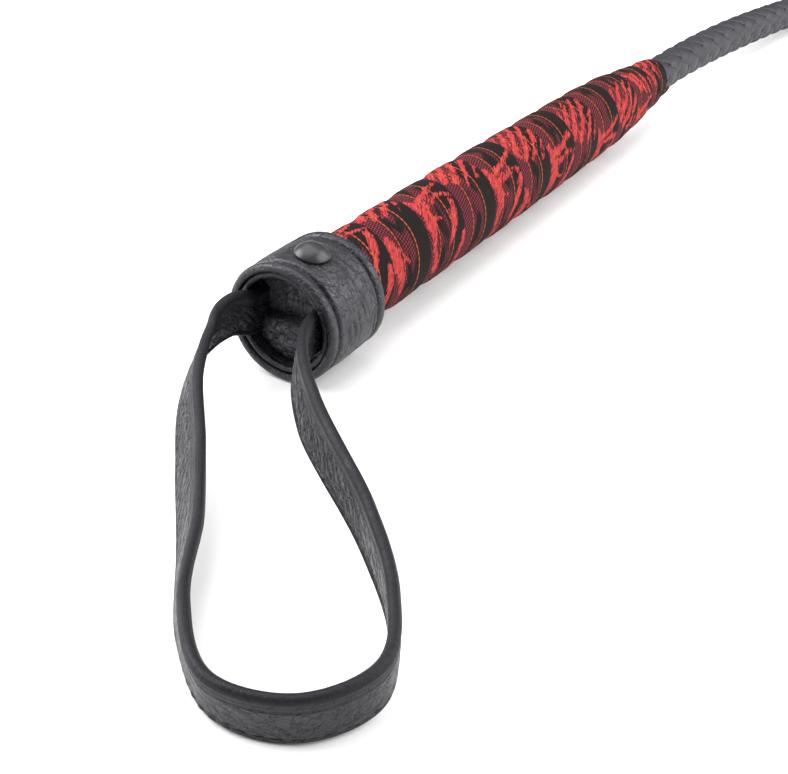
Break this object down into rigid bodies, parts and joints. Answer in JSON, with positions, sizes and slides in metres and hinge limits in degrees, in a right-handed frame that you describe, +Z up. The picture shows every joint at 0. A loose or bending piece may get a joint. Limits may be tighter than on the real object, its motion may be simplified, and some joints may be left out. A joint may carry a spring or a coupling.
{
  "type": "riding crop",
  "caption": "Riding crop with a leather wrist loop and cuff at the butt, a ribbon-wound grip, a plaited springy shaft and a folded leather keeper.",
  "frame": {"origin": "middle of the cuff's lowest flat facet, where the handle rests on the ground", "axes": "+X along the handle from the wrist loop to the keeper, +Z up, +Y to the left seen from the butt"},
  "size_m": [0.796, 0.1223, 0.0344],
  "materials": {
    "cuff_leather": "black pebbled leather, creased, soft sheen",
    "butt_leather": "black crinkled leather",
    "strap_leather": "black pebbled leather with folded edges",
    "ribbon": "black and red brocade ribbon",
    "grip_wood": "plain turned wood",
    "grip_padding": "matt foam rubber",
    "binding_thread": "waxed thread",
    "rod_fibreglass": "ground fibreglass",
    "plait_leather": "dark grey plaited leather lace",
    "rivet_metal": "black enamelled steel, satin",
    "tack_steel": "plain steel",
    "keeper_leather": "black leather with stitched edges"
  },
  "bodies": {
    "root": {"handle_core": "grip_wood", "grip_padding": "grip_padding", "taper_binding": "binding_thread", "ribbon_wrap": "ribbon", "cuff_band": "cuff_leather", "cuff_lining": "cuff_leather", "butt_cover": "butt_leather", "rivet_cap": "rivet_metal", "rivet_shank": "rivet_metal", "strap_tail_left": "strap_leather", "strap_tail_right": "strap_leather", "strap_tack_left_a": "tack_steel", "strap_tack_left_b": "tack_steel", "strap_tack_right_a": "tack_steel", "strap_tack_right_b": "tack_steel", "strap_bend_left": "strap_leather", "strap_bend_right": "strap_leather", "rod_tang": "rod_fibreglass", "plait_collar": "plait_leather"},
    "strap_legs": {"strap_leg_left": "strap_leather", "strap_leg_right": "strap_leather", "strap_twist_left": "strap_leather", "strap_twist_right": "strap_leather"},
    "wrist_loop": {"strap_bight": "strap_leather"},
    "shaft": {"shaft_rod": "rod_fibreglass", "shaft_plait": "plait_leather", "keeper_neck": "keeper_leather", "tip_whipping": "binding_thread"},
    "keeper": {"keeper_tongue": "keeper_leather"}
  },
  "joints": [
    {"name": "loop_swing", "type": "hinge", "parent": "root", "child": "strap_legs", "pos_m": [-0.024, 0, 0.016], "axis": [0, 0, 1], "range_deg": [-72, 20], "deforming": ["strap_bend_left", "strap_bend_right"]},
    {"name": "loop_lift", "type": "hinge", "parent": "strap_legs", "child": "wrist_loop", "pos_m": [-0.048, -0.019, 0.013], "axis": [0, 1, 0], "range_deg": [-75, 110], "deforming": ["strap_twist_left", "strap_twist_right"]},
    {"name": "shaft_flex", "type": "hinge", "parent": "root", "child": "shaft", "pos_m": [0.288, -0.00125, 0.0127], "axis": [0, 0, 1], "range_deg": [-15, 15], "stiffness_Nm_per_rad": 3},
    {"name": "keeper_flap", "type": "hinge", "parent": "shaft", "child": "keeper", "pos_m": [0.616, -0.07144, 0.00665], "axis": [-0.3536, -0.9354, 0], "range_deg": [-40, 60], "stiffness_Nm_per_rad": 0.05}
  ]
}
